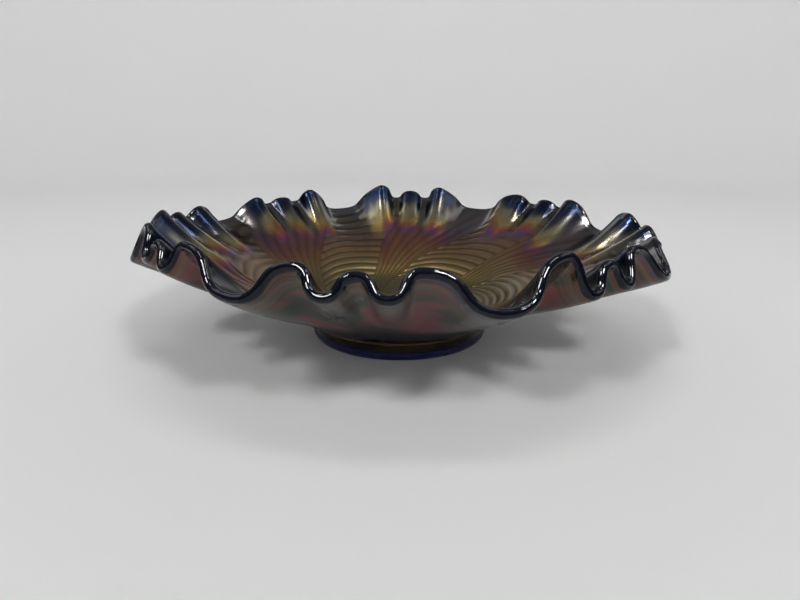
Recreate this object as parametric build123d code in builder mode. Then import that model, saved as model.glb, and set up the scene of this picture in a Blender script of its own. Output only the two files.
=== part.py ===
"""Carnival glass bowl: one pressed, hand-crimped piece of glass, modelled as its five regions.

Collar base, base disc and lower wall keep the round shape of the press mould. The ruffled flare
is the wall above them, pinched while hot into eight groups of three crimps. The rim edge is the
bare, fire-polished lip. Angles turn about +Z from the front (-Y) towards +X. Millimetres, degrees.
"""
import os
from math import cos, pi, radians, sin

from build123d import *

# Collar base and floor
COLLAR_RADIUS = 40.8
COLLAR_INNER_RADIUS = 33.6
COLLAR_HEIGHT = 8.0
COLLAR_BAND_FOOT = 3.8        # height where the upright band ends and the rounded toe begins
RESTING_INNER_RADIUS = 35.2   # flat ring that the bowl stands on
RESTING_OUTER_RADIUS = 38.6
FLOOR_HEIGHT = 11.9           # top of the flat floor inside the bowl
FLOOR_FLAT_RADIUS = 26.0

# Middle line of the wall, from the collar out to the mean rim: radius, height
WALL_FOOT = (41.3, 11.4)
WALL_KNOTS = [WALL_FOOT, (52.0, 17.2), (66.0, 24.4), (84.0, 33.4), (106.2, 47.5)]
WALL_FOOT_SLOPE = 15.0
WALL_RIM_SLOPE = 38.0
FOOT_THICKNESS = 4.9
RIM_THICKNESS = 3.2

# Where each kind of shaping starts, as a share of the wall line, and how sharply it grows
FLARE_START = 0.20
LOBE_GROWTH = 1.35
CRIMP_START = 0.45
CRIMP_GROWTH = 1.5
EDGE_START = 0.965
FLARE_JOINT = FLARE_START + 0.0008   # 0.06 mm on, so that round and ruffled glass never cut in

# Crimps: eight groups of tall, short, tall crests, set by hand, so no two are quite alike
GROUPS = 8
FIRST_GROUP = -5.5
GROUP_LEAN = [-0.5, -0.5, -1.0, 0.0, 2.5, 2.0, 0.0, 0.5]
GROUP_PUSH = [0.0, 0.0, 2.0, 0.0, 0.0, 0.0, 0.0, 0.0]
TALL_OFFSET = 10.0
NARROW_OFFSET = 5.0
TALL_RADIUS, SHORT_RADIUS, NARROW_RADIUS = 103.5, 104.5, 107.0
LEFT_TALL = [54.0, 55.5, 49.0, 53.5, 54.5, 54.0, 52.0, 56.5]
RIGHT_TALL = [53.5, 53.0, 53.0, 53.0, 55.5, 52.0, 55.0, 55.5]
SHORT = [52.5, 51.0, 50.5, 51.5, 52.0, 50.5, 51.5, 53.5]
NARROW = [46.5, 43.0, 45.5, 48.0, 47.5, 47.5, 47.0, 47.0]
# Broad valleys between one group and the next
BROAD = [42.0, 40.0, 40.5, 42.0, 41.0, 41.5, 41.0, 43.5]
BROAD_RADIUS = [108.5, 111.0, 106.5, 108.5, 109.5, 108.5, 110.5, 107.5]
BROAD_TURN = [0.5, 1.0, 1.0, 1.0, 2.0, 0.0, 0.5, 1.5]
LOBE_CREST = (105.5, 50.0)    # radius and height of a group smoothed over its three crests
FLANK_STEEPNESS = 0.08        # how far the flanks of a crimp are pulled upright
# How a group's outer flanks run: 1 is an even wave, less is a sharper crest by a wider valley
FLANK_BOW = [1.0, 1.0, 1.0, 0.85, 0.65, 0.65, 0.8, 1.0]

NARROW_STEPS = 3              # rings are drawn through this many points per narrow flank
BROAD_STEPS = 5               # and this many per broad flank
FLARE_RINGS = 9

os.makedirs("parts", exist_ok=True)


def group_centre(group):
    """Angle of a group's middle crest."""
    turns, place = divmod(group, GROUPS)
    return FIRST_GROUP + 360 * turns + 360 / GROUPS * place + GROUP_LEAN[place]


def rim_keys():
    """Crests and valleys of the rim in order: angle, radius, height, bow of the flank after it."""
    keys = []
    for g in range(GROUPS):
        centre, push = group_centre(g), GROUP_PUSH[g]
        valley = (centre + group_centre(g + 1)) / 2 + BROAD_TURN[g]
        keys += [
            (centre - TALL_OFFSET, TALL_RADIUS + push, LEFT_TALL[g], 1),
            (centre - NARROW_OFFSET, NARROW_RADIUS + push, NARROW[g], 1),
            (centre, SHORT_RADIUS + push, SHORT[g], 1),
            (centre + NARROW_OFFSET, NARROW_RADIUS + push, NARROW[g], 1),
            (centre + TALL_OFFSET, TALL_RADIUS + push / 2, RIGHT_TALL[g], FLANK_BOW[g]),
            (valley, BROAD_RADIUS[g], BROAD[g], FLANK_BOW[(g + 1) % GROUPS]),
        ]
    return keys


def blend(low, high, share):
    return low + (high - low) * (1 - cos(pi * share)) / 2


RIM_KEYS = rim_keys()


def rim_point(angle):
    """Rim at an undisturbed angle: true angle, radius, height."""
    angle = (angle - RIM_KEYS[0][0]) % 360 + RIM_KEYS[0][0]
    keys = RIM_KEYS + [(RIM_KEYS[0][0] + 360, *RIM_KEYS[0][1:])]
    for (a0, r0, z0, bow), (a1, r1, z1, _) in zip(keys, keys[1:]):
        if angle <= a1:
            share = (angle - a0) / (a1 - a0)
            drag = (a1 - a0) * FLANK_STEEPNESS * sin(2 * pi * share)
            bowed = share ** bow if z0 > z1 else 1 - (1 - share) ** bow
            return angle + drag, blend(r0, r1, bowed), blend(z0, z1, bowed)


def lobe_point(angle):
    """Rim with each group smoothed into one broad wave: radius, height."""
    angle = (angle - group_centre(0)) % 360 + group_centre(0)
    for g in range(GROUPS):
        a0, a1 = group_centre(g), group_centre(g + 1)
        if angle <= a1:
            crest = (0.5 + 0.5 * cos(2 * pi * (angle - a0) / (a1 - a0))) ** 0.8
            radius = BROAD_RADIUS[g] + (LOBE_CREST[0] - BROAD_RADIUS[g]) * crest
            return radius, BROAD[g] + (LOBE_CREST[1] - BROAD[g]) * crest


def growth(share, start, power):
    return max(0.0, (share - start) / (1 - start)) ** power


with BuildLine(Plane.XZ) as wall_line:
    Spline(
        *WALL_KNOTS,
        tangents=[
            (cos(radians(WALL_FOOT_SLOPE)), sin(radians(WALL_FOOT_SLOPE))),
            (cos(radians(WALL_RIM_SLOPE)), sin(radians(WALL_RIM_SLOPE))),
        ],
    )


def middle(angle, share):
    """Point on the middle of the glass, at an angle and a share of the wall line."""
    plain = wall_line.line @ share
    true_angle, rim_radius, rim_height = rim_point(angle)
    lobe_radius, lobe_height = lobe_point(angle)
    lobe = growth(share, FLARE_START, LOBE_GROWTH)
    crimp = growth(share, CRIMP_START, CRIMP_GROWTH)
    radius = plain.X + lobe * (lobe_radius - WALL_KNOTS[-1][0]) + crimp * (rim_radius - lobe_radius)
    height = plain.Z + lobe * (lobe_height - WALL_KNOTS[-1][1]) + crimp * (rim_height - lobe_height)
    drag = (true_angle - angle + 180) % 360 - 180
    turn = radians(angle + crimp * drag)
    return Vector(radius * sin(turn), -radius * cos(turn), height)


def glass_frame(angle, share):
    """Middle point, the way out of the bowl's inner skin and the way outwards along the wall."""
    step = 0.001
    here = middle(angle, share)
    along = middle(angle, min(share + step, 1)) - middle(angle, max(share - step, 0))
    around = middle(angle + 0.05, share) - middle(angle - 0.05, share)
    return here, around.cross(along).normalized() * -1, along.normalized()


def half_thickness(share):
    return (FOOT_THICKNESS + (RIM_THICKNESS - FOOT_THICKNESS) * share) / 2


def skin(angle, share, side):
    """Point on the inner (side 1) or outer (side -1) skin of the glass."""
    here, up, _ = glass_frame(angle, share)
    return here + up * (side * half_thickness(share))


def lip(angle, roll):
    """Point on the rounded lip, from the inner skin (roll 0) round to the outer skin (180)."""
    here, up, outwards = glass_frame(angle, 1.0)
    reach = half_thickness(1.0)
    return here + up * (reach * cos(radians(roll))) + outwards * (reach * sin(radians(roll)))


def ring_angles():
    """Angles at which the rings are drawn, closer together across the crimps."""
    angles = []
    ends = [key[0] for key in RIM_KEYS] + [RIM_KEYS[0][0] + 360]
    for place, (a0, a1) in enumerate(zip(ends, ends[1:])):
        steps = NARROW_STEPS if place % 6 < 4 else BROAD_STEPS
        angles += [a0 + (a1 - a0) * step / steps for step in range(steps)]
    return angles


RING_ANGLES = ring_angles()
RING_PLACES = [(angle - RING_ANGLES[0]) / 360 for angle in RING_ANGLES] + [1.0]


def ring(point_at, *where):
    """Closed curve through one point for each ring angle."""
    points = [point_at(angle, *where) for angle in RING_ANGLES]
    return Wire([Edge.make_spline(points, periodic=True, parameters=RING_PLACES)])


def closed_solid(*ring_lists):
    """Solid bounded by a smooth skin through each list of rings."""
    faces = []
    for rings in ring_lists:
        faces += Shell.make_loft(rings, ruled=len(rings) == 2).faces()
    return Solid(Shell(faces))


def wall_section(start, end, steps=6):
    """Half section of the undisturbed wall between two shares of its line."""
    inner = [skin_section(start + (end - start) * i / steps, 1) for i in range(steps + 1)]
    outer = [skin_section(start + (end - start) * i / steps, -1) for i in range(steps + 1)]
    return inner, outer


def skin_section(share, side):
    """Radius and height of a skin where the wall is still round."""
    point, way = wall_line.line @ share, wall_line.line % share
    reach = side * half_thickness(share)
    return point.X - way.Z * reach, point.Z + way.X * reach


inner_seam, outer_seam = skin_section(0, 1), skin_section(0, -1)

# Collar base: the foot ring, pressed with the bowl, its toe rounded and its sole flat
with BuildPart() as collar_base:
    with BuildSketch(Plane.XZ):
        with BuildLine():
            Polyline(
                (RESTING_INNER_RADIUS, 0),
                (RESTING_OUTER_RADIUS, 0),
            )
            toe = ThreePointArc(
                (RESTING_OUTER_RADIUS, 0),
                (COLLAR_RADIUS - 0.55, COLLAR_BAND_FOOT * 0.45),
                (COLLAR_RADIUS, COLLAR_BAND_FOOT),
            )
            Polyline(
                toe @ 1,
                (COLLAR_RADIUS, COLLAR_HEIGHT),
                (COLLAR_INNER_RADIUS, COLLAR_HEIGHT),
                (COLLAR_INNER_RADIUS, RESTING_INNER_RADIUS - COLLAR_INNER_RADIUS),
                (RESTING_INNER_RADIUS, 0),
            )
        make_face()
    revolve(axis=Axis.Z)
collar_base.part.label = "collar_base"

# Base disc: the floor of the bowl, flat below, dished up to the wall above
with BuildPart() as base_disc:
    with BuildSketch(Plane.XZ):
        with BuildLine():
            Line((0, COLLAR_HEIGHT), (COLLAR_RADIUS, COLLAR_HEIGHT))
            Line((COLLAR_RADIUS, COLLAR_HEIGHT), outer_seam)
            Line(outer_seam, inner_seam)
            Spline(
                inner_seam,
                (FLOOR_FLAT_RADIUS, FLOOR_HEIGHT),
                tangents=[
                    (-cos(radians(WALL_FOOT_SLOPE)), -sin(radians(WALL_FOOT_SLOPE))),
                    (-1, 0),
                ],
            )
            Polyline((FLOOR_FLAT_RADIUS, FLOOR_HEIGHT), (0, FLOOR_HEIGHT), (0, COLLAR_HEIGHT))
        make_face()
    revolve(axis=Axis.Z)
base_disc.part.label = "base_disc"

# Lower wall: the part of the wall that the crimping leaves round
with BuildPart() as lower_wall:
    with BuildSketch(Plane.XZ):
        with BuildLine():
            inner_line, outer_line = wall_section(0, FLARE_START)
            Spline(*inner_line)
            Line(inner_line[-1], outer_line[-1])
            Spline(*outer_line)
            Line(outer_line[0], inner_line[0])
        make_face()
    revolve(axis=Axis.Z)
lower_wall.part.label = "lower_wall"

# Ruffled flare: the upper wall, drawn out and pinched into its crimps
flare_shares = [
    FLARE_JOINT + (EDGE_START - FLARE_JOINT) * i / (FLARE_RINGS - 1) for i in range(FLARE_RINGS)
]
inner_rings = [ring(skin, share, 1) for share in flare_shares]
outer_rings = [ring(skin, share, -1) for share in flare_shares]
with BuildPart() as ruffled_flare:
    add(
        closed_solid(
            inner_rings,
            [inner_rings[-1], outer_rings[-1]],
            outer_rings,
            [outer_rings[0], inner_rings[0]],
        )
    )
ruffled_flare.part.label = "ruffled_flare"

# Rim edge: the bare lip, melted round in the fire after the crimping
lip_rings = [ring(lip, roll) for roll in (0, 30, 60, 90, 120, 150, 180)]
with BuildPart() as rim_edge:
    add(
        closed_solid(
            [inner_rings[-1], *lip_rings, outer_rings[-1]],
            [outer_rings[-1], inner_rings[-1]],
        )
    )
rim_edge.part.label = "rim_edge"

for piece in (collar_base, base_disc, lower_wall, ruffled_flare, rim_edge):
    export_step(piece.part, f"parts/{piece.part.label}.step")
    solid = piece.part.solid()
    size = solid.bounding_box().size
    print(piece.part.label, solid.is_valid, round(solid.volume), [round(v, 1) for v in size])
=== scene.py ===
from math import cos, exp, pi, radians, sin

import bpy
import numpy as np
from mathutils import Matrix, Vector


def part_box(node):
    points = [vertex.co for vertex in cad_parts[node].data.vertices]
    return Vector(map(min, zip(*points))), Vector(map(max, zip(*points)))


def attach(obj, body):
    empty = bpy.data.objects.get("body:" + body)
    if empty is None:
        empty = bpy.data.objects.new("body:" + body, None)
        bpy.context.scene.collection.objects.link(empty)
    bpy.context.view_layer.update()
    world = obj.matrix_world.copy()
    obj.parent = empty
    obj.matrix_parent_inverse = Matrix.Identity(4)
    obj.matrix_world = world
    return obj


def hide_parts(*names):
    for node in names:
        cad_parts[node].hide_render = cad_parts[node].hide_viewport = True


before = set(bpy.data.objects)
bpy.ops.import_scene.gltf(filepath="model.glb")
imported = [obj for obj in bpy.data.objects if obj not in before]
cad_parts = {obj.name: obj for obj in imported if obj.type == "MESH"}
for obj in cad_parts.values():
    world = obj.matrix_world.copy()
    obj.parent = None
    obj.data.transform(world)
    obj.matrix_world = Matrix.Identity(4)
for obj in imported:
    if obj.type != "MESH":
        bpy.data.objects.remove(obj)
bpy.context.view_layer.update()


# ---- Studio: a pale floor that curves up all round, soft light from above, and the camera ----
# Floor and backdrop are one smooth dish of matt card, so no horizon shows from any side.
FLOOR_REACH = 0.8
FLOOR_MIDDLE = 0.4
COVE_RADIUS = 0.7
COVE_TOP = 1.4
COVE_COLUMNS, COVE_STEPS = 96, 16
CARD_COLOUR = (0.85, 0.85, 0.85, 1)
SHARP_EDGE = 60


def knit(rings):
    """Faces between rings, each a single point or as long as the next, half as long or twice."""
    faces, start = [], 0
    for ring, after in zip(rings, rings[1:]):
        count, next_count = len(ring), len(after)
        here, there = start, start + count
        i = np.arange(min(count, next_count))
        j = (i + 1) % len(i)
        if 1 in (count, next_count):
            around = np.arange(max(count, next_count))
            onward = (around + 1) % len(around)
            if count == 1:
                faces += [(here, there + s, there + t) for s, t in zip(around, onward)]
            else:
                faces += [(there, here + t, here + s) for s, t in zip(around, onward)]
        elif count == next_count:
            faces += zip(here + i, there + i, there + j, here + j)
        elif count < next_count:
            faces += zip(here + i, there + 2 * i, there + 2 * i + 1)
            faces += zip(here + i, there + 2 * i + 1, here + j)
            faces += zip(here + j, there + 2 * i + 1, there + 2 * j)
        else:
            faces += zip(there + i, here + 2 * i + 1, here + 2 * i)
            faces += zip(there + i, there + j, here + 2 * i + 1)
            faces += zip(there + j, here + 2 * j, here + 2 * i + 1)
        start += count
    return faces


def piece(name, rings, closed=False, attributes=None):
    """Smooth mesh object knitted from rings; closed joins the last ring to the first."""
    points = np.concatenate(rings)
    faces = knit(rings)
    if closed:
        last = len(points) - len(rings[-1])
        i = np.arange(len(rings[0]))
        j = (i + 1) % len(i)
        faces += zip(last + i, i, j, last + j)
    mesh = bpy.data.meshes.new(name)
    mesh.from_pydata(points.tolist(), [], [tuple(int(corner) for corner in face) for face in faces])
    for key, values in (attributes or {}).items():
        layer = mesh.attributes.new(key, "FLOAT", "POINT")
        layer.data.foreach_set("value", np.asarray(values, np.float32))
    mesh.polygons.foreach_set("use_smooth", [True] * len(mesh.polygons))
    mesh.set_sharp_from_angle(angle=radians(SHARP_EDGE))
    made = bpy.data.objects.new(name, mesh)
    bpy.context.scene.collection.objects.link(made)
    return made


def material(name, **sockets):
    """New material with plain values set on its Principled shader; gives it, its tree, the shader."""
    made = bpy.data.materials.new(name)
    made.use_nodes = True
    shader = made.node_tree.nodes["Principled BSDF"]
    for socket, value in sockets.items():
        shader.inputs[socket.replace("_", " ").title().replace("Ior", "IOR")].default_value = value
    return made, made.node_tree, shader


def circle(radius, height, count):
    """Ring of points round the axis, from the front."""
    turn = np.linspace(0, 2 * pi, count, endpoint=False)
    return np.stack([radius * np.sin(turn), -radius * np.cos(turn), np.full(count, height)], 1)


card, _, _ = material("matt_card", base_color=CARD_COLOUR, roughness=0.95)
cove = [
    circle(FLOOR_REACH + COVE_RADIUS * sin(bend), COVE_RADIUS * (1 - cos(bend)), COVE_COLUMNS)
    for bend in np.linspace(0, pi / 2, COVE_STEPS)
]
floor = piece("studio_floor", [
    circle(1e-4, 0, COVE_COLUMNS), circle(FLOOR_MIDDLE, 0, COVE_COLUMNS), cove[0]])
backdrop = piece("studio_backdrop", cove + [
    circle(FLOOR_REACH + COVE_RADIUS, COVE_TOP, COVE_COLUMNS)])
for stage in (floor, backdrop):
    stage.data.materials.append(card)
backdrop.visible_glossy = False


class Value:
    """What a node puts out. Arithmetic on it adds Math nodes, so that rules read as plain sums."""

    def __init__(self, tree, socket):
        self.tree, self.socket = tree, socket

    def math(self, operation, *others):
        return reckon(self.tree, operation, self, *others)

    def __add__(self, other):
        return self.math("ADD", other)

    def __sub__(self, other):
        return self.math("SUBTRACT", other)

    def __rsub__(self, other):
        return reckon(self.tree, "SUBTRACT", other, self)

    def __mul__(self, other):
        return self.math("MULTIPLY", other)

    def __truediv__(self, other):
        return self.math("DIVIDE", other)

    def __rtruediv__(self, other):
        return reckon(self.tree, "DIVIDE", other, self)

    def __pow__(self, other):
        return self.math("POWER", other)

    def eased(self, low, high, start=0.0, end=1.0):
        """Smooth step from start to end as this value goes from low to high."""
        node = self.tree.nodes.new("ShaderNodeMapRange")
        node.interpolation_type = "SMOOTHSTEP"
        for socket, given in zip(node.inputs, (self, low, high, start, end)):
            plug(self.tree, given, socket)
        return Value(self.tree, node.outputs[0])

    def ramp(self, stops):
        """Colour that runs through (place, colour) stops as this value grows."""
        node = self.tree.nodes.new("ShaderNodeValToRGB")
        elements = node.color_ramp.elements
        while len(elements) < len(stops):
            elements.new(0.5)
        for element, (place, colour) in zip(elements, stops):
            element.position, element.color = place, (*colour, 1)
        plug(self.tree, self, node.inputs[0])
        return Value(self.tree, node.outputs[0])


def plug(tree, value, socket):
    """Gives a node's input something plain, or links it to what another node puts out."""
    if isinstance(value, Value):
        tree.links.new(value.socket, socket)
    else:
        socket.default_value = value


def reckon(tree, operation, *values):
    """Math node on numbers and values."""
    node = tree.nodes.new("ShaderNodeMath")
    node.operation = operation
    for socket, value in zip(node.inputs, values):
        plug(tree, value, socket)
    return Value(tree, node.outputs[0])


# The air that the glass mirrors: bright overhead and beyond the bowl, dim on the near side
AIR_LEAN = 0.15
AIR_STOPS = [(0.0, (0.025, 0.025, 0.03)), (0.25, (0.06, 0.06, 0.065)), (0.48, (0.20, 0.20, 0.21)),
             (0.85, (0.32, 0.32, 0.335))]
world = bpy.data.worlds.new("studio_air")
world.use_nodes = True
air = world.node_tree
way = air.nodes.new("ShaderNodeSeparateXYZ")
air.links.new(air.nodes.new("ShaderNodeTexCoord").outputs["Generated"], way.inputs[0])
overhead = Value(air, way.outputs["Y"]) * AIR_LEAN + Value(air, way.outputs["Z"])
plug(air, overhead.ramp(AIR_STOPS), air.nodes["Background"].inputs["Color"])
bpy.context.scene.world = world
world.cycles_visibility.diffuse = False
bpy.context.scene.view_settings.view_transform = "Standard"


def lamp(name, place, width, length, watts, mirrored=False, aim=(0, 0, 0)):
    """Soft rectangular lamp, its length front to back. It lights the scene or the glass mirrors it."""
    light = bpy.data.lights.new(name, "AREA")
    light.shape, light.size, light.size_y = "RECTANGLE", width, length
    light.energy = watts
    made = bpy.data.objects.new(name, light)
    back = (Vector(place) - Vector(aim)).normalized()
    right = Vector((0, 1, 0)).cross(back).normalized()
    turned = Matrix((right, back.cross(right), back)).transposed().to_4x4()
    made.matrix_world = Matrix.Translation(place) @ turned
    made.visible_camera, made.visible_glossy, made.visible_diffuse = False, mirrored, not mirrored
    bpy.context.scene.collection.objects.link(made)
    return made


lamp("window_left", (-0.72, -1.08, 1.28), 0.28, 0.28, 8.2)
lamp("window_right", (0.72, -1.08, 1.28), 0.28, 0.28, 9.0)
lamp("backdrop_fill", (0.0, 0.1, 1.4), 0.9, 0.5, 6.0, aim=(0, 1.5, 0.45))
lamp("glint_left", (-0.70, -1.00, 1.30), 0.26, 0.34, 10.0, mirrored=True)
lamp("glint_right", (0.72, -1.00, 1.30), 0.26, 0.34, 10.0, mirrored=True)
lamp("card_left", (-0.95, 0.15, 1.10), 0.60, 0.90, 2.6, mirrored=True)
lamp("card_right", (0.95, 0.15, 1.10), 0.60, 0.90, 2.2, mirrored=True)
lamp("card_beyond", (0.0, 1.15, 0.44), 1.80, 0.26, 1.0, mirrored=True)
lamp("tube_left", (-0.50, -0.32, 1.45), 0.07, 0.45, 3.4, mirrored=True)
lamp("tube_right", (0.50, -0.32, 1.45), 0.07, 0.45, 3.4, mirrored=True)

CAMERA_PLACE = (0.0025, -0.2543, 0.0917)
CAMERA_PITCH, CAMERA_YAW, CAMERA_ROLL = 16.96, 0.50, 0.33
camera = bpy.data.objects.new("camera", bpy.data.cameras.new("camera"))
camera.data.lens = 25.56
camera.data.sensor_width = 36
camera.data.clip_start = 0.01
camera.matrix_world = (
    Matrix.Translation(CAMERA_PLACE)
    @ Matrix.Rotation(radians(CAMERA_YAW), 4, "Z")
    @ Matrix.Rotation(radians(90 - CAMERA_PITCH), 4, "X")
    @ Matrix.Rotation(radians(CAMERA_ROLL), 4, "Z")
)
bpy.context.scene.collection.objects.link(camera)
bpy.context.scene.camera = camera


# ---- Wall: floor, lower wall and ruffled flare, one skin of pressed glass ----
# Cobalt glass pressed between mould and plunger, then drawn out and crimped by hand while hot,
# in eight groups of three crests. The inside carries the plunger's swirled ribbons and ripples.
WALL_KNOTS = [(0.0413, 0.0114), (0.0520, 0.0172), (0.0660, 0.0244), (0.0840, 0.0334), (0.1062, 0.0475)]
WALL_FOOT_SLOPE, WALL_RIM_SLOPE = 15.0, 38.0
FOOT_THICKNESS, RIM_THICKNESS = 0.0049, 0.0032
FLARE_START, LOBE_GROWTH = 0.20, 1.35
CRIMP_START, CRIMP_GROWTH = 0.45, 1.5
EDGE_START = 0.965
LINE_STEPS = 60
SHARE_STEP, TURN_STEP = 0.002, 0.05

# Crests and valleys, one value for each group. Turns run from the front towards the right.
GROUPS = 8
GROUP_TURN = np.array([-6.0, 39.0, 83.5, 129.5, 177.0, 221.5, 264.5, 310.0])
GROUP_PUSH = np.array([0, 0, 2.0, 0, 0, 0, 0, 0]) * 1e-3
TALL_OFFSET, NARROW_OFFSET = 10.0, 5.0
TALL_RADIUS, SHORT_RADIUS, NARROW_RADIUS = 0.1035, 0.1045, 0.1070
LEFT_TALL = np.array([54.0, 55.5, 49.0, 53.5, 54.5, 54.0, 52.0, 56.5]) * 1e-3
RIGHT_TALL = np.array([53.5, 53.0, 53.0, 53.0, 55.5, 52.0, 55.0, 55.5]) * 1e-3
SHORT = np.array([52.5, 51.0, 50.5, 51.5, 52.0, 50.5, 51.5, 53.5]) * 1e-3
NARROW = np.array([46.5, 43.0, 45.5, 48.0, 47.5, 47.5, 47.0, 47.0]) * 1e-3
BROAD = np.array([42.0, 40.0, 40.5, 42.0, 41.0, 41.5, 41.0, 43.5]) * 1e-3
BROAD_RADIUS = np.array([108.5, 111.0, 106.5, 108.5, 109.5, 108.5, 110.5, 107.5]) * 1e-3
BROAD_TURN = np.array([0.5, 1.0, 1.0, 1.0, 2.0, 0.0, 0.5, 1.5])
LOBE_CREST = (0.1055, 0.0500)
LOBE_FULLNESS = 0.8
FLANK_STEEPNESS = 0.08
FLANK_BOW = np.array([1.0, 1.0, 1.0, 0.85, 0.65, 0.65, 0.8, 1.0])
CREST_FOOT, CREST_TOP = 0.0455, 0.0525

next_turn = np.append(GROUP_TURN[1:], GROUP_TURN[0] + 360)
key_turn = np.stack([
    GROUP_TURN - TALL_OFFSET, GROUP_TURN - NARROW_OFFSET, GROUP_TURN, GROUP_TURN + NARROW_OFFSET,
    GROUP_TURN + TALL_OFFSET, (GROUP_TURN + next_turn) / 2 + BROAD_TURN], 1).ravel()
key_radius = np.stack([
    TALL_RADIUS + GROUP_PUSH, NARROW_RADIUS + GROUP_PUSH, SHORT_RADIUS + GROUP_PUSH,
    NARROW_RADIUS + GROUP_PUSH, TALL_RADIUS + GROUP_PUSH / 2, BROAD_RADIUS], 1).ravel()
key_height = np.stack([LEFT_TALL, NARROW, SHORT, NARROW, RIGHT_TALL, BROAD], 1).ravel()
even = np.ones(GROUPS)
key_bow = np.stack([even, even, even, even, FLANK_BOW, np.roll(FLANK_BOW, -1)], 1).ravel()
key_turn = np.append(key_turn, key_turn[0] + 360)
key_radius = np.append(key_radius, key_radius[0])
key_height = np.append(key_height, key_height[0])


def rim_point(turn):
    """Rim at an undisturbed turn in degrees: drag of the crimp, radius, height."""
    turn = (turn - key_turn[0]) % 360 + key_turn[0]
    i = np.clip(np.searchsorted(key_turn, turn, side="right") - 1, 0, len(key_turn) - 2)
    gap = key_turn[i + 1] - key_turn[i]
    share = (turn - key_turn[i]) / gap
    bow, falls = key_bow[i], key_height[i] > key_height[i + 1]
    bowed = np.where(falls, share ** bow, 1 - (1 - share) ** bow)
    passed = (1 - np.cos(pi * bowed)) / 2
    drag = gap * FLANK_STEEPNESS * np.sin(2 * pi * share)
    return (drag, key_radius[i] + (key_radius[i + 1] - key_radius[i]) * passed,
            key_height[i] + (key_height[i + 1] - key_height[i]) * passed)


def lobe_point(turn):
    """Rim with each group smoothed into one wave: radius, height."""
    centres = np.append(GROUP_TURN, GROUP_TURN[0] + 360)
    turn = (turn - centres[0]) % 360 + centres[0]
    group = np.clip(np.searchsorted(centres, turn, side="right") - 1, 0, GROUPS - 1)
    share = (turn - centres[group]) / (centres[group + 1] - centres[group])
    crest = (0.5 + 0.5 * np.cos(2 * pi * share)) ** LOBE_FULLNESS
    return (BROAD_RADIUS[group] + (LOBE_CREST[0] - BROAD_RADIUS[group]) * crest,
            BROAD[group] + (LOBE_CREST[1] - BROAD[group]) * crest)


def crest_share(turn):
    """How far up its crest the rim is at a turn: 1 on a tall crest, 0 in a valley."""
    return np.clip((rim_point(turn)[2] - CREST_FOOT) / (CREST_TOP - CREST_FOOT), 0, 1)


def wall_line():
    """Smooth line through the wall's knots: table of share, radius and height, and its length."""
    knots = np.array(WALL_KNOTS)
    count = len(knots)
    gap = np.hypot(*np.diff(knots, axis=0).T)
    system, target = np.eye(count), np.zeros((count, 2))
    target[0], target[-1] = [
        (cos(radians(slope)), sin(radians(slope))) for slope in (WALL_FOOT_SLOPE, WALL_RIM_SLOPE)]
    for k in range(1, count - 1):
        before, after = gap[k - 1], gap[k]
        system[k, k - 1:k + 2] = after, 2 * (after + before), before
        target[k] = 3 * (after * (knots[k] - knots[k - 1]) / before
                         + before * (knots[k + 1] - knots[k]) / after)
    slope = np.linalg.solve(system, target)
    points = []
    for k in range(count - 1):
        t = np.linspace(0, 1, LINE_STEPS, endpoint=k == count - 2)[:, None]
        points.append((1 + 2 * t) * (1 - t) ** 2 * knots[k] + t * (1 - t) ** 2 * gap[k] * slope[k]
                      + t * t * (3 - 2 * t) * knots[k + 1] + t * t * (t - 1) * gap[k] * slope[k + 1])
    points = np.concatenate(points)
    length = np.concatenate([[0], np.cumsum(np.hypot(*np.diff(points, axis=0).T))])
    return length / length[-1], points[:, 0], points[:, 1], length[-1]


line_share, line_radius, line_height, wall_length = wall_line()


def middle(turn, share):
    """Points on the middle of the glass, at turns in degrees and shares of the wall line."""
    drag, rim_radius, rim_height = rim_point(turn)
    lobe_radius, lobe_height = lobe_point(turn)
    lobe = np.clip((share - FLARE_START) / (1 - FLARE_START), 0, None) ** LOBE_GROWTH
    crimp = np.clip((share - CRIMP_START) / (1 - CRIMP_START), 0, None) ** CRIMP_GROWTH
    radius = (np.interp(share, line_share, line_radius) + lobe * (lobe_radius - WALL_KNOTS[-1][0])
              + crimp * (rim_radius - lobe_radius))
    height = (np.interp(share, line_share, line_height) + lobe * (lobe_height - WALL_KNOTS[-1][1])
              + crimp * (rim_height - lobe_height))
    heading = np.radians(turn + crimp * drag)
    return np.stack([radius * np.sin(heading), -radius * np.cos(heading), height], -1)


def glass_frame(turn, share):
    """Middle points, the way out of the inner skin, the way outwards, and half the thickness."""
    half = (FOOT_THICKNESS + (RIM_THICKNESS - FOOT_THICKNESS) * share) / 2
    share = np.full_like(turn, share)
    along = (middle(turn, np.minimum(share + SHARE_STEP, 1))
             - middle(turn, np.maximum(share - SHARE_STEP, 0)))
    around = middle(turn + TURN_STEP, share) - middle(turn - TURN_STEP, share)
    up = -np.cross(around, along)
    up /= np.linalg.norm(up, axis=1, keepdims=True)
    along /= np.linalg.norm(along, axis=1, keepdims=True)
    return middle(turn, share), up, along, half


def skin(turn, share, side):
    """Points on the inner skin, side 1, or the outer skin, side -1."""
    here, up, _, half = glass_frame(turn, share)
    return here + up * (side * half)


def turns(count):
    """Turns in degrees, evenly all round from the front."""
    return np.linspace(0, 360, count, endpoint=False)


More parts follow.
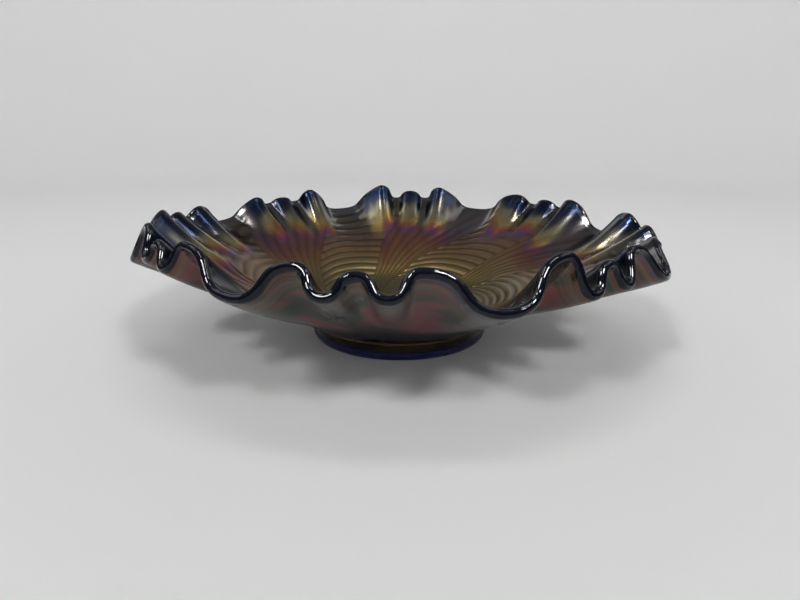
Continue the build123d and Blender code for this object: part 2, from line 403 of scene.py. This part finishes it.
COLUMNS = 640
FINE_SPACING = 0.00066
FLOOR_SPACING = FINE_SPACING * 1.1
OUTER_ROWS = 34
FLOOR_TOP = 0.0119
FLOOR_FLAT_RADIUS = 0.026
FIRST_RING, SEAM_GAP = 0.001, 0.0004
UNDERSIDE_RADII = (0.036, 0.030, 0.020, 0.010, 0.004)
FLOOR_FEWER, UNDERSIDE_FEWER = (0.008, 0.022), (0.012, 0.032)
floor_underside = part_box("base_disc")[0].z
collar_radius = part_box("collar_base")[1].x
seam = skin(turns(4), 0.0, 1)
seam_radius, seam_height = float(np.hypot(seam[0, 0], seam[0, 1])), float(seam[0, 2])


def floor_height(radius):
    """Dished floor, from its flat middle up to the foot of the wall."""
    reach = np.clip((radius - FLOOR_FLAT_RADIUS) / (seam_radius - FLOOR_FLAT_RADIUS), 0, 1)
    return FLOOR_TOP + (seam_height - FLOOR_TOP) * reach ** 2


def fewer_columns(radius, inner, outer):
    """Columns of a ring near the axis: an eighth of the wall's, then a quarter, then a half."""
    return COLUMNS // (8 if radius < inner else 4 if radius < outer else 2)


rings, ring_turn, ring_run, ring_inside = [], [], [], []


def add_ring(points, run, inside):
    """One more ring of the wall, its distance out along the glass, and 1 inside or 0 outside."""
    rings.append(points)
    ring_turn.append(turns(len(points)))
    ring_run.append(np.full(len(points), run))
    ring_inside.append(np.full(len(points), inside))


add_ring(np.array([[0, 0, FLOOR_TOP]]), 0.0, 1.0)
for radius in np.arange(FIRST_RING, seam_radius - SEAM_GAP, FLOOR_SPACING):
    count = fewer_columns(radius, *FLOOR_FEWER)
    add_ring(circle(radius, float(floor_height(radius)), count), radius, 1.0)
for share in np.linspace(0, EDGE_START, int(wall_length * EDGE_START / FINE_SPACING)):
    add_ring(skin(turns(COLUMNS), share, 1), seam_radius + share * wall_length, 1.0)
for share in np.linspace(EDGE_START, 0, OUTER_ROWS):
    count = COLUMNS if share > CRIMP_START else COLUMNS // 2
    add_ring(skin(turns(count), share, -1), seam_radius + share * wall_length, 0.0)
for radius in (collar_radius, *UNDERSIDE_RADII):
    count = fewer_columns(radius, *UNDERSIDE_FEWER)
    add_ring(circle(radius, floor_underside, count), radius, 0.0)
add_ring(np.array([[0, 0, floor_underside]]), 0.0, 0.0)
wall_turn = np.concatenate(ring_turn)
wall = piece("pressed_wall", rings, attributes={
    "turn": wall_turn, "run": np.concatenate(ring_run), "inside": np.concatenate(ring_inside),
    "crest": crest_share(wall_turn)})


# The plunger's pattern, as a rule on the inner skin: swirled ribbons of fine ribs, and between
# them fields of ripples that droop where they meet a ribbon. Runs are distances out along the
# glass, and shares across are parts of the pitch from one ribbon to the next.
HUB_RUN = 0.004
HUB_SMOOTH = (0.010, 0.045)
RIBBON_WIDENS, RIBBON_HALF = (0.035, 0.085), (0.14, 0.27)
RIBBON_BORDER = 0.01
RIBS_FADE = (0.084, 0.100)
RIB_SHADE, RIB_SHADE_DEPTH = 0.46, 0.42
RIPPLES_FADE = (0.106, 0.1125)
CREST_SMOOTH = (0.074, 0.088)
RIPPLE_SHARPNESS = 0.55
LEFT_DROOP_BEND, RIGHT_DROOP_BEND, RIGHT_DROOP = 2.2, 2.0, 0.35
OUTER_DROOP_RUN, OUTER_DROOP = (0.075, 0.105), 0.9
BORDER_RIDGE = 0.011


def named(tree, name):
    """Value of a mesh attribute in a geometry tree."""
    node = tree.nodes.new("GeometryNodeInputNamedAttribute")
    node.data_type = "FLOAT"
    node.inputs["Name"].default_value = name
    return Value(tree, node.outputs["Attribute"])


def store(geometry, name, value):
    """Keeps a value as a mesh attribute; gives the geometry."""
    tree = geometry.tree
    node = tree.nodes.new("GeometryNodeStoreNamedAttribute")
    node.data_type, node.domain = "FLOAT", "POINT"
    node.inputs["Name"].default_value = name
    plug(tree, geometry, node.inputs["Geometry"])
    plug(tree, value, node.inputs["Value"])
    return Value(tree, node.outputs["Geometry"])


def group_inputs(tree):
    """What a node group is given, by name."""
    node = tree.nodes.new("NodeGroupInput")
    return {socket.name: Value(tree, socket) for socket in node.outputs if socket.name}


def new_tree(name, **inputs):
    """Geometry tree with the named inputs; gives it, what it is given, and its output socket."""
    tree = bpy.data.node_groups.new(name, "GeometryNodeTree")
    tree.interface.new_socket("Geometry", in_out="INPUT", socket_type="NodeSocketGeometry")
    tree.interface.new_socket("Geometry", in_out="OUTPUT", socket_type="NodeSocketGeometry")
    for key, value in inputs.items():
        kind = "NodeSocketMaterial" if isinstance(value, bpy.types.Material) else "NodeSocketFloat"
        socket = tree.interface.new_socket(key.replace("_", " "), in_out="INPUT", socket_type=kind)
        socket.default_value = value
    return tree, group_inputs(tree), tree.nodes.new("NodeGroupOutput").inputs[0]


def bake_tree(made, tree):
    """Runs a geometry tree on an object and keeps the result as its plain mesh."""
    made.modifiers.new(tree.name, "NODES").node_group = tree
    evaluated = made.evaluated_get(bpy.context.evaluated_depsgraph_get())
    shape = bpy.data.meshes.new_from_object(evaluated)
    made.modifiers.clear()
    made.data = shape


inner_glass, _, _ = material("inner_lustre", metallic=1.0, roughness=0.24)
outer_glass, _, _ = material("outer_lustre", metallic=0.6, roughness=0.3)
relief, given, relief_out = new_tree(
    "pressed_relief", Ribbons=6.0, Ribbon_Start=180.0, Swirl=33.0, Swirl_Run=0.060, Ribs=7.0,
    Rib_Height=0.00030, Ripple_Base=0.0509, Ripple_Growth=1.0876, Ripple_Height=0.00042,
    Droop=0.0048, Edge_Height=0.0004, Inside=inner_glass, Outside=outer_glass)
run, inside = named(relief, "run"), named(relief, "inside")

# Place in the swirl: a whole number in the middle of a ribbon, a half in the middle of a field
spiral = (run.math("MAXIMUM", HUB_RUN) / given["Swirl Run"]).math("LOGARITHM", exp(1))
turned = named(relief, "turn") - given["Ribbon Start"]
place = (spiral * given["Swirl"] + turned) / (360.0 / given["Ribbons"])
across = place - place.math("ROUND")
off_centre = across.math("ABSOLUTE")
half_band = run.eased(*RIBBON_WIDENS, *RIBBON_HALF)
ribbon = 1.0 - (off_centre - half_band).eased(-RIBBON_BORDER, RIBBON_BORDER)
rib_phase = across / half_band * (given["Ribs"] * pi)
rib = rib_phase.math("COSINE") * 0.5 + 0.5
rib_fade = run.eased(*RIBS_FADE, 1.0, 0.0)

# Ripples: each the same share further out than the last, drooping towards the ribbons
from_field = (place - 0.5) - (place - 0.5).math("ROUND")
side = from_field / (0.5 - half_band)
left = side.math("MAXIMUM", 0.0) ** LEFT_DROOP_BEND
right = (side * -1.0).math("MAXIMUM", 0.0) ** RIGHT_DROOP_BEND * RIGHT_DROOP
sag = left + right + off_centre ** 2.0 * run.eased(*OUTER_DROOP_RUN, 0.0, OUTER_DROOP)
ripple_run = sag * given["Droop"] + run
ripple_count = (ripple_run / given["Ripple Base"]).math("LOGARITHM", given["Ripple Growth"])
ripple_wave = (ripple_count * (2 * pi)).math("COSINE")
ripple = (ripple_wave * -0.5 + 0.5) ** RIPPLE_SHARPNESS
on_crest = named(relief, "crest") * run.eased(*CREST_SMOOTH)
ripple_fade = run.eased(*RIPPLES_FADE, 1.0, 0.0) * (1.0 - on_crest)
hub_fade = run.eased(*HUB_SMOOTH)

# A ridge borders each ribbon on its left
from_border = (across + half_band) / BORDER_RIDGE
border = (from_border * from_border * -1.0).math("EXPONENT")
ribs_high = rib * ribbon * rib_fade * given["Rib Height"]
ripples_high = ripple * (1.0 - ribbon) * ripple_fade * given["Ripple Height"]
border_high = border * rib_fade * given["Edge Height"]
height = (ribs_high + ripples_high + border_high) * hub_fade * inside

# How far each point stands out of the pattern's grooves, so that painted shade can darken the lustre's
# colour in them
rib_shade = rib * RIB_SHADE_DEPTH + RIB_SHADE
field_shade = ripple + (1.0 - ripple) * (1.0 - ripple_fade * hub_fade)
relief_shade = rib_shade * ribbon + field_shade * (1.0 - ribbon)
geometry = store(given["Geometry"], "ribbon", ribbon)
geometry = store(geometry, "relief", relief_shade)

lift = relief.nodes.new("ShaderNodeVectorMath")
lift.operation = "SCALE"
relief.links.new(relief.nodes.new("GeometryNodeInputNormal").outputs[0], lift.inputs[0])
plug(relief, height, lift.inputs["Scale"])
move = relief.nodes.new("GeometryNodeSetPosition")
plug(relief, geometry, move.inputs["Geometry"])
relief.links.new(lift.outputs[0], move.inputs["Offset"])
real = relief.nodes.new("GeometryNodeRealizeInstances")
relief.links.new(move.outputs[0], real.inputs[0])
paint_in = relief.nodes.new("GeometryNodeSetMaterial")
paint_out = relief.nodes.new("GeometryNodeSetMaterial")
relief.links.new(real.outputs[0], paint_in.inputs["Geometry"])
relief.links.new(paint_in.outputs[0], paint_out.inputs["Geometry"])
plug(relief, given["Inside"], paint_in.inputs["Material"])
plug(relief, given["Outside"], paint_out.inputs["Material"])
plug(relief, inside.math("LESS_THAN", 0.5), paint_out.inputs["Selection"])
relief.links.new(paint_out.outputs[0], relief_out)
bake_tree(wall, relief)

# The lustre: metal salts sprayed on hot, thicker outwards, so its colour runs from olive gold
# through copper and purple to blue, and through a second rainbow on the crests. The wall and the
# lip share it as two groups, one for each side of the glass.
LUSTRE_START, LUSTRE_LENGTH = 0.040, 0.076
WALL_REACH = 0.08
MIX_SHARE, MIX_LOW, MIX_HIGH, MIX_RESULT = 0, 6, 7, 2


def painted(tree, name):
    """Value of a mesh attribute in a material."""
    node = tree.nodes.new("ShaderNodeAttribute")
    node.attribute_name = name
    return Value(tree, node.outputs["Fac"])


def noise(tree, scale, detail=3.0, where=None, stretch=(1, 1, 1)):
    """Noise on the piece's own place in metres, or on another vector."""
    node = tree.nodes.new("ShaderNodeTexNoise")
    node.inputs["Scale"].default_value = scale
    node.inputs["Detail"].default_value = detail
    mapping = tree.nodes.new("ShaderNodeMapping")
    mapping.inputs["Scale"].default_value = stretch
    tree.links.new(where or tree.nodes.new("ShaderNodeTexCoord").outputs["Object"], mapping.inputs[0])
    tree.links.new(mapping.outputs[0], node.inputs["Vector"])
    return Value(tree, node.outputs["Fac"])


def along_wall(tree):
    """Vector that follows the glass: round the bowl, and out along the wall in metres."""
    node = tree.nodes.new("ShaderNodeCombineXYZ")
    angle = painted(tree, "turn").math("RADIANS")
    plug(tree, angle.math("SINE") * WALL_REACH, node.inputs[0])
    plug(tree, angle.math("COSINE") * WALL_REACH, node.inputs[1])
    plug(tree, painted(tree, "run"), node.inputs[2])
    return node.outputs[0]


def blend(share, low, high):
    """Mix of two colours, by a value."""
    node = share.tree.nodes.new("ShaderNodeMix")
    node.data_type = "RGBA"
    for index, given in ((MIX_SHARE, share), (MIX_LOW, low), (MIX_HIGH, high)):
        plug(share.tree, given, node.inputs[index])
    return Value(share.tree, node.outputs[MIX_RESULT])


def new_film(name, **inputs):
    """Shader group for a lustre, with named numbers in; gives it, what it is given, its outputs."""
    tree = bpy.data.node_groups.new(name, "ShaderNodeTree")
    for key, value in inputs.items():
        socket = tree.interface.new_socket(key, in_out="INPUT", socket_type="NodeSocketFloat")
        socket.default_value = value
    tree.interface.new_socket("Colour", in_out="OUTPUT", socket_type="NodeSocketColor")
    tree.interface.new_socket("Roughness", in_out="OUTPUT", socket_type="NodeSocketFloat")
    return tree, group_inputs(tree), tree.nodes.new("NodeGroupOutput").inputs


def lay_film(tree, film, *painted_names):
    """Places a lustre in a material, fed by the piece's own attributes; gives its colour, roughness."""
    node = tree.nodes.new("ShaderNodeGroup")
    node.node_tree = film
    for name in painted_names:
        plug(tree, painted(tree, name), node.inputs[name.title()])
    return Value(tree, node.outputs["Colour"]), Value(tree, node.outputs["Roughness"])


# Inside: calm in the fields, warm on the ribbons, vivid on the crests, with painted shade darkening the
# colour in the grooves
CLOUD_SCALE, STREAK_SCALE, STREAK_STRETCH = 26.0, 160.0, (1, 1, 0.12)
VIVID_CREST, VIVID_RUN = (0.15, 0.75), (0.074, 0.090)
GROOVE_DEPTH, GROOVE_SHADE = (0.0, 0.9), (0.42, 0.90)
GLOSS_RUN, GLOSS, CLOUDY_GLOSS = (0.078, 0.102), (0.33, 0.21), 0.16
inner_film, given, film_out = new_film(
    "inner_film", Run=0.05, Crest=0.0, Ribbon=0.0, Relief=1.0, Drift=0.55, Streaks=0.40)
clouds = noise(inner_film, CLOUD_SCALE) - 0.5
streaks = noise(inner_film, STREAK_SCALE, 2.0, along_wall(inner_film), STREAK_STRETCH) - 0.5
film = clouds * given["Drift"] + streaks * given["Streaks"]
film = film + (given["Run"] - LUSTRE_START) / LUSTRE_LENGTH
calm = film.ramp([
    (0.00, (0.19, 0.155, 0.072)), (0.22, (0.225, 0.17, 0.076)), (0.40, (0.25, 0.152, 0.074)),
    (0.52, (0.19, 0.116, 0.070)), (0.66, (0.125, 0.088, 0.066)), (0.80, (0.115, 0.096, 0.062)),
    (0.90, (0.085, 0.080, 0.072)), (1.00, (0.11, 0.11, 0.11))])
warm = film.ramp([
    (0.00, (0.17, 0.135, 0.06)), (0.20, (0.21, 0.145, 0.058)), (0.34, (0.22, 0.120, 0.055)),
    (0.46, (0.20, 0.085, 0.055)), (0.56, (0.16, 0.068, 0.070)), (0.64, (0.11, 0.075, 0.10)),
    (0.72, (0.13, 0.10, 0.10)), (1.00, (0.10, 0.10, 0.10))])
vivid = film.ramp([
    (0.44, (0.18, 0.08, 0.08)), (0.52, (0.11, 0.11, 0.18)), (0.58, (0.28, 0.08, 0.16)),
    (0.64, (0.36, 0.15, 0.06)), (0.70, (0.38, 0.28, 0.11)), (0.78, (0.25, 0.23, 0.16)),
    (0.86, (0.045, 0.052, 0.070)), (0.93, (0.011, 0.022, 0.056)), (1.00, (0.014, 0.017, 0.028))])
crested = given["Crest"].eased(*VIVID_CREST) * given["Run"].eased(*VIVID_RUN)
colour = blend(crested, blend(given["Ribbon"], calm, warm), vivid)
# Painted shade: the colour is scaled down where the relief value is low, in the grooves
painted_groove_shade = inner_film.nodes.new("ShaderNodeVectorMath")
painted_groove_shade.operation = "SCALE"
plug(inner_film, colour, painted_groove_shade.inputs[0])
plug(inner_film, given["Relief"].eased(*GROOVE_DEPTH, *GROOVE_SHADE), painted_groove_shade.inputs["Scale"])
inner_film.links.new(painted_groove_shade.outputs[0], film_out["Colour"])
gloss = clouds * CLOUDY_GLOSS + given["Run"].eased(*GLOSS_RUN, *GLOSS)
plug(inner_film, gloss, film_out["Roughness"])

# Outside: patches of teal and rose, painted shade darkening it towards the collar, and bands of colour
# near the lip
PATCH_SCALE, PATCH_STRETCH = 38.0, (1, 1, 1.6)
ROSY_CREST, ROSY_CLOUDS, ROSY_OUTWARDS = (-0.5, 0.8), (0.46, 0.57), (0.25, 0.5)
BAND_SCALE, BAND_STRETCH = 240.0, (0.10, 0.10, 1)
BAND_OUTWARDS, BAND_SHARE = (0.78, 1.00), (0.0, 0.8)
UNDERSIDE_SHADE_OUTWARDS, UNDERSIDE_SHADE_SHARE, UNDERSIDE_SHADE_COLOUR = (-0.02, 0.45), (0.95, 0.0), (0.006, 0.005, 0.004, 1)
PATCH_CLOUDS, PATCH_GLOSS = (0.3, 0.7), (0.26, 0.38)
outer_film, given, film_out = new_film("outer_film", Run=0.05, Crest=0.0)
outwards = (given["Run"] - LUSTRE_START) / LUSTRE_LENGTH
clouds = noise(outer_film, PATCH_SCALE, 2.0, None, PATCH_STRETCH)
teal = clouds.ramp([
    (0.36, (0.026, 0.022, 0.018)), (0.50, (0.020, 0.036, 0.029)), (0.66, (0.036, 0.028, 0.024))])
rose = clouds.ramp([
    (0.40, (0.06, 0.035, 0.03)), (0.52, (0.17, 0.042, 0.045)), (0.70, (0.12, 0.036, 0.036))])
rosy = given["Crest"].eased(*ROSY_CREST) * clouds.eased(*ROSY_CLOUDS)
rosy = rosy * outwards.eased(*ROSY_OUTWARDS)
bands = noise(outer_film, BAND_SCALE, 1.0, along_wall(outer_film), BAND_STRETCH).ramp([
    (0.35, (0.06, 0.062, 0.055)), (0.48, (0.15, 0.12, 0.08)), (0.55, (0.16, 0.080, 0.075)),
    (0.63, (0.07, 0.09, 0.12)), (0.72, (0.14, 0.13, 0.08))])
colour = blend(outwards.eased(*BAND_OUTWARDS, *BAND_SHARE), blend(rosy, teal, rose), bands)
# Painted shade: the outside turns near-black low down, towards the collar
colour = blend(outwards.eased(*UNDERSIDE_SHADE_OUTWARDS, *UNDERSIDE_SHADE_SHARE), colour, UNDERSIDE_SHADE_COLOUR)
plug(outer_film, colour, film_out["Colour"])
plug(outer_film, clouds.eased(*PATCH_CLOUDS, *PATCH_GLOSS), film_out["Roughness"])

for glass, film, names in (
        (inner_glass, inner_film, ("run", "crest", "ribbon", "relief")),
        (outer_glass, outer_film, ("run", "crest"))):
    tree = glass.node_tree
    shader = tree.nodes["Principled BSDF"]
    colour, roughness = lay_film(tree, film, *names)
    plug(tree, colour, shader.inputs["Base Color"])
    plug(tree, roughness, shader.inputs["Roughness"])
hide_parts("base_disc", "lower_wall", "ruffled_flare")
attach(wall, "root")


# ---- Lip: the bare rim, melted round in the fire after the crimping ----
# Near-black cobalt glass where the heat drove the lustre off, round as a bead and faintly uneven.
# The lustre of the wall runs up to it on both sides.
LIP_COLUMNS = 1280
CUFF_RINGS, BEAD_RINGS = 5, 17
BARE_STARTS, BARE_ENDS = (-0.08, 0.02), (1.08, 1.20)
BARE_COLOUR, BARE_ROUGHNESS = (0.003, 0.004, 0.009, 1), 0.05
UNEVENNESS, WAVE_SCALE = 0.0010, 130.0
BARE_WAVER_SCALE, BARE_WAVER = 300.0, 0.1
lip_turns = turns(LIP_COLUMNS)
here, up, outwards, half = glass_frame(lip_turns, 1.0)
lip_rings, lip_run, lip_bead, lip_inside = [], [], [], []


def add_lip_ring(points, share, bead, inside):
    """One more ring of the lip. Bead is how far round the half-round it is, 0 to 1, or past it."""
    lip_rings.append(points)
    lip_run.append(seam_radius + share * wall_length)
    lip_bead.append(bead)
    lip_inside.append(inside)


cuff = np.linspace(EDGE_START, 1, CUFF_RINGS)[:-1]
for share in cuff:
    add_lip_ring(skin(lip_turns, share, 1), share, (share - 1) * wall_length / (pi * half), 1.0)
for roll in np.linspace(0, pi, BEAD_RINGS):
    points = here + half * (cos(roll) * up + sin(roll) * outwards)
    add_lip_ring(points, 1.0, roll / pi, 0.5 + 0.5 * cos(roll))
for share in cuff[::-1]:
    add_lip_ring(skin(lip_turns, share, -1), share, 1 + (1 - share) * wall_length / (pi * half), 0.0)
lip = piece("fire_polished_lip", lip_rings, closed=True, attributes={
    "turn": np.tile(lip_turns, len(lip_rings)),
    "crest": np.tile(crest_share(lip_turns), len(lip_rings)),
    "run": np.repeat(lip_run, LIP_COLUMNS),
    "bead": np.repeat(lip_bead, LIP_COLUMNS),
    "inside": np.repeat(lip_inside, LIP_COLUMNS)})

lip_glass, tree, shader = material("lip_glass", ior=1.52, specular_ior_level=0.26)
inner_colour, inner_roughness = lay_film(tree, inner_film, "run", "crest")
outer_colour, outer_roughness = lay_film(tree, outer_film, "run", "crest")
bead = noise(tree, BARE_WAVER_SCALE) * BARE_WAVER + painted(tree, "bead")
bare = bead.eased(*BARE_STARTS) * bead.eased(*BARE_ENDS, 1.0, 0.0)
inward = painted(tree, "inside").eased(0.3, 0.7)
lustred = 1.0 - bare
colour = blend(bare, blend(inward, outer_colour, inner_colour), BARE_COLOUR)
roughness = outer_roughness * (1.0 - inward) + inner_roughness * inward
plug(tree, colour, shader.inputs["Base Color"])
plug(tree, lustred, shader.inputs["Metallic"])
plug(tree, roughness * lustred + bare * BARE_ROUGHNESS, shader.inputs["Roughness"])
waves = tree.nodes.new("ShaderNodeBump")
waves.inputs["Distance"].default_value = UNEVENNESS
plug(tree, noise(tree, WAVE_SCALE, 1.5), waves.inputs["Height"])
tree.links.new(waves.outputs[0], shader.inputs["Normal"])
lip.data.materials.append(lip_glass)

# The bare glass mirrors the windows whole, so it has its own large pair of them
lip_alone = bpy.data.collections.new("lip_alone")
lip_alone.objects.link(lip)
for name, x in (("lip_window_left", -0.70), ("lip_window_right", 0.70)):
    window = lamp(name, (x, -1.00, 1.30), 0.44, 0.44, 42.0, mirrored=True)
    window.light_linking.receiver_collection = lip_alone
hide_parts("rim_edge")
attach(lip, "root")


# ---- Collar: the ring foot pressed in one with the bowl ----
# Olive-black lustre clings to its upright band; the rounded toe below was wiped bare and shows
# the cobalt of the glass.
COLLAR_COLUMNS = 320
COLLAR_BAND_FOOT = 0.0038
SOLE_OUTER, SOLE_INNER = 0.0386, 0.0352
WAVER_SCALE, WAVER, OLIVE_SCALE = 60.0, 0.0012, 90.0
BAND_EDGE = (COLLAR_BAND_FOOT + 0.0004, COLLAR_BAND_FOOT + 0.0010)
BAND_METAL, COLLAR_GLOSS = 0.6, (0.08, 0.25)
TOE_COLOUR = (0.006, 0.006, 0.055, 1)
# A coppery band under the collar's top edge: partly lustre colour, partly painted highlight
COPPER_AND_HIGHLIGHT_BAND, COPPER_AND_HIGHLIGHT_COLOUR = (0.0070, 0.0077), (0.16, 0.08, 0.05, 1)
collar_outline = [
    (0.0336, 0.0080), (0.0336, 0.0040), (0.0338, 0.0018), (0.0343, 0.0006), (SOLE_INNER, 0.0),
    (SOLE_OUTER, 0.0), (0.0393, 0.0003), (0.0398, 0.0010), (0.0401, 0.0020), (0.0402, 0.0031),
    (0.0401, 0.0036), (0.0398, COLLAR_BAND_FOOT), (0.0399, 0.0042), (0.0402, 0.0055),
    (0.0405, 0.0068), (0.0408, 0.0076), (0.0408, 0.0080)]
collar_rings = [circle(radius, height, COLLAR_COLUMNS) for radius, height in collar_outline]
collar = piece("collar_ring", collar_rings, closed=True)

collar_glass, tree, shader = material("collar_glass", ior=1.52, coat_weight=0.2, coat_roughness=0.05)
where = tree.nodes.new("ShaderNodeSeparateXYZ")
tree.links.new(tree.nodes.new("ShaderNodeTexCoord").outputs["Object"], where.inputs[0])
up_collar = Value(tree, where.outputs["Z"])
band = (noise(tree, WAVER_SCALE) * WAVER + up_collar).eased(*BAND_EDGE)
olive = noise(tree, OLIVE_SCALE).ramp([
    (0.35, (0.010, 0.008, 0.006)), (0.6, (0.030, 0.020, 0.009)), (0.75, (0.06, 0.03, 0.015))])
# Coppery lustre and painted highlight: a brighter band just under the top edge
lustre = blend(up_collar.eased(*COPPER_AND_HIGHLIGHT_BAND), olive, COPPER_AND_HIGHLIGHT_COLOUR)
plug(tree, blend(band, TOE_COLOUR, lustre), shader.inputs["Base Color"])
plug(tree, band * BAND_METAL, shader.inputs["Metallic"])
plug(tree, band.eased(0.0, 1.0, *COLLAR_GLOSS), shader.inputs["Roughness"])
collar.data.materials.append(collar_glass)
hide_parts("collar_base")
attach(collar, "root")
